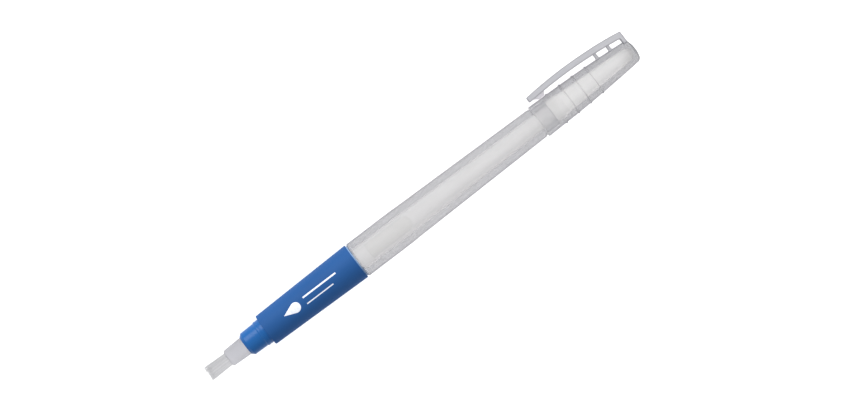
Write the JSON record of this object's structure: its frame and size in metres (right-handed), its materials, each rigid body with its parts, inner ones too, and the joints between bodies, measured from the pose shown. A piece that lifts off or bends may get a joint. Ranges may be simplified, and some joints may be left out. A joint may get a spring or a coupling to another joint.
{
  "type": "water brush",
  "caption": "Water brush with a flat nylon tip, a blue nose and grip, a frosted squeeze barrel, and a ribbed clip cap posted on its tail.",
  "frame": {"origin": "on the brush's axis, at the shoulder where the nose meets the grip, which is where the cap seats when it covers the tip", "axes": "+X along the brush from tip to cap, +Y to the side that carries the clip, +Z out of the side with the squeeze panel"},
  "size_m": [0.1721, 0.0155, 0.0126],
  "materials": {
    "tuft_fibre": "white nylon fibres",
    "ferrule_plastic": "translucent frosted white",
    "feed_fibre": "porous bonded fibre",
    "inner_plastic": "natural moulded",
    "nose_plastic": "gloss blue",
    "grip_plastic": "satin blue",
    "ring_rubber": "soft translucent",
    "barrel_plastic": "frosted translucent",
    "cap_plastic": "frosted translucent"
  },
  "bodies": {
    "barrel": {"barrel": "barrel_plastic"},
    "sealing_ring": {"sealing_ring": "ring_rubber"},
    "front_section": {"nose_section": "nose_plastic", "grip_sleeve": "grip_plastic", "ferrule": "ferrule_plastic", "bristle_tuft": "tuft_fibre", "tuft_root": "tuft_fibre", "feed_core": "feed_fibre", "flow_regulator": "inner_plastic"},
    "cap": {"cap_shell": "cap_plastic"},
    "clip": {"clip_arm": "cap_plastic"}
  },
  "joints": [
    {"name": "front_advance", "type": "slide", "parent": "barrel", "child": "sealing_ring", "axis": [-1, 0, 0], "range_m": [0, 0.005]},
    {"name": "front_unscrew", "type": "hinge", "parent": "sealing_ring", "child": "front_section", "pos_m": [0.019, 0, 0], "axis": [-1, 0, 0], "range_deg": [0, 900.5]},
    {"name": "cap_pull", "type": "slide", "parent": "barrel", "child": "cap", "axis": [1, 0, 0], "range_m": [0, 0.03]},
    {"name": "clip_flex", "type": "hinge", "parent": "cap", "child": "clip", "pos_m": [0.136, 0.0078, 0], "axis": [0, 0, -1], "range_deg": [0, 4.5], "stiffness_Nm_per_rad": 0.3}
  ],
  "couplings": [
    {"joint": "front_unscrew", "follows": "front_advance", "rad_per_m": 3141.6}
  ]
}
